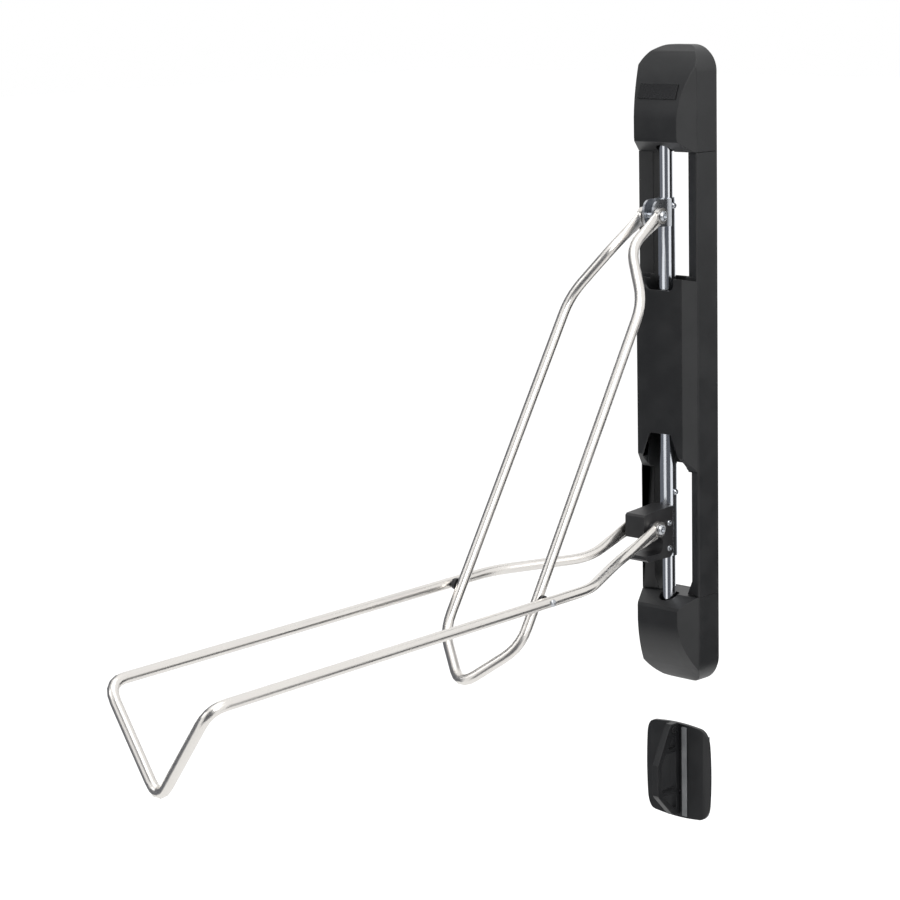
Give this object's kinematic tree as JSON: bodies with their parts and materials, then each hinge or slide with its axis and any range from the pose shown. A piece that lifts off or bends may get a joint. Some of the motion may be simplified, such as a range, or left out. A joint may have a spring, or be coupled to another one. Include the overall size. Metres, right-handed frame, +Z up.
{
  "type": "bicycle wall rack",
  "caption": "Wall-hung bicycle rack: a swivelling pole in a slim housing carries bent-rod cradle arms that fold down, with a separate tyre rest below.",
  "frame": {"origin": "on the wall plane, at the middle of the housing's back plate", "axes": "+Z up, +Y into the wall, so the rack stands out along -Y, X sideways"},
  "size_m": [0.1378, 0.6873, 0.76],
  "materials": {
    "black_plastic": "matte",
    "black_nylon": "matte",
    "badge_black": "gloss",
    "bright_steel": "polished",
    "satin_rod": "satin",
    "grey_strip": "matte",
    "plated_steel": "satin"
  },
  "bodies": {
    "housing": {"back_plate": "black_plastic", "wall_screw_top_left": "plated_steel", "wall_screw_top_right": "plated_steel", "wall_screw_bottom_left": "plated_steel", "wall_screw_bottom_right": "plated_steel", "body_shell": "black_plastic", "top_hood": "black_plastic", "hood_badge": "badge_black", "bottom_cap": "black_plastic", "pole_bush_top": "black_nylon", "pole_bush_bottom": "black_nylon", "rest_base": "black_plastic", "rest_screw_1": "plated_steel", "rest_screw_2": "plated_steel", "rest_fin": "black_plastic", "rest_fin_pin": "badge_black", "rest_strip": "grey_strip"},
    "swivel_pole": {"pole": "bright_steel"},
    "upper_carriage": {"upper_sleeve": "bright_steel", "upper_liner_top": "black_nylon", "upper_liner_bottom": "black_nylon", "upper_sleeve_screw": "plated_steel", "upper_clevis": "plated_steel", "upper_pivot_bolt": "plated_steel"},
    "lower_carriage": {"lower_sleeve": "bright_steel", "lower_liner_top": "black_nylon", "lower_liner_bottom": "black_nylon", "lower_sleeve_screw": "plated_steel", "pivot_block": "black_nylon", "block_bolt_1": "plated_steel", "block_bolt_2": "plated_steel", "lower_pivot_bolt": "plated_steel", "pivot_washer_right": "plated_steel", "pivot_washer_left": "plated_steel"},
    "long_arm_body": {"long_arm": "satin_rod", "cross_spacer_right": "black_nylon", "cross_spacer_left": "black_nylon", "cross_pin_right": "plated_steel", "cross_pin_left": "plated_steel"},
    "short_arm_body": {"short_arm": "satin_rod"}
  },
  "joints": [
    {"name": "swivel", "type": "hinge", "parent": "housing", "child": "swivel_pole", "pos_m": [0, -0.0345, 0], "axis": [0, 0, 1], "range_deg": [-15, 15]},
    {"name": "lower_slide", "type": "slide", "parent": "swivel_pole", "child": "lower_carriage", "axis": [0, 0, 1], "range_m": [0, 0.0601]},
    {"name": "upper_slide", "type": "slide", "parent": "swivel_pole", "child": "upper_carriage", "axis": [0, 0, -1], "range_m": [0, 0.0536]},
    {"name": "fold", "type": "hinge", "parent": "lower_carriage", "child": "long_arm_body", "pos_m": [0, -0.07, -0.148], "axis": [1, 0, 0], "range_deg": [0, 70]},
    {"name": "short_fold", "type": "hinge", "parent": "upper_carriage", "child": "short_arm_body", "pos_m": [0, -0.0555, 0.1512], "axis": [1, 0, 0], "range_deg": [0, 25.4]}
  ],
  "couplings": [
    {"joint": "lower_slide", "follows": "fold", "m_per_rad": 0.049111},
    {"joint": "upper_slide", "follows": "fold", "m_per_rad": 0.043767},
    {"joint": "short_fold", "follows": "fold", "ratio": 0.3619}
  ]
}
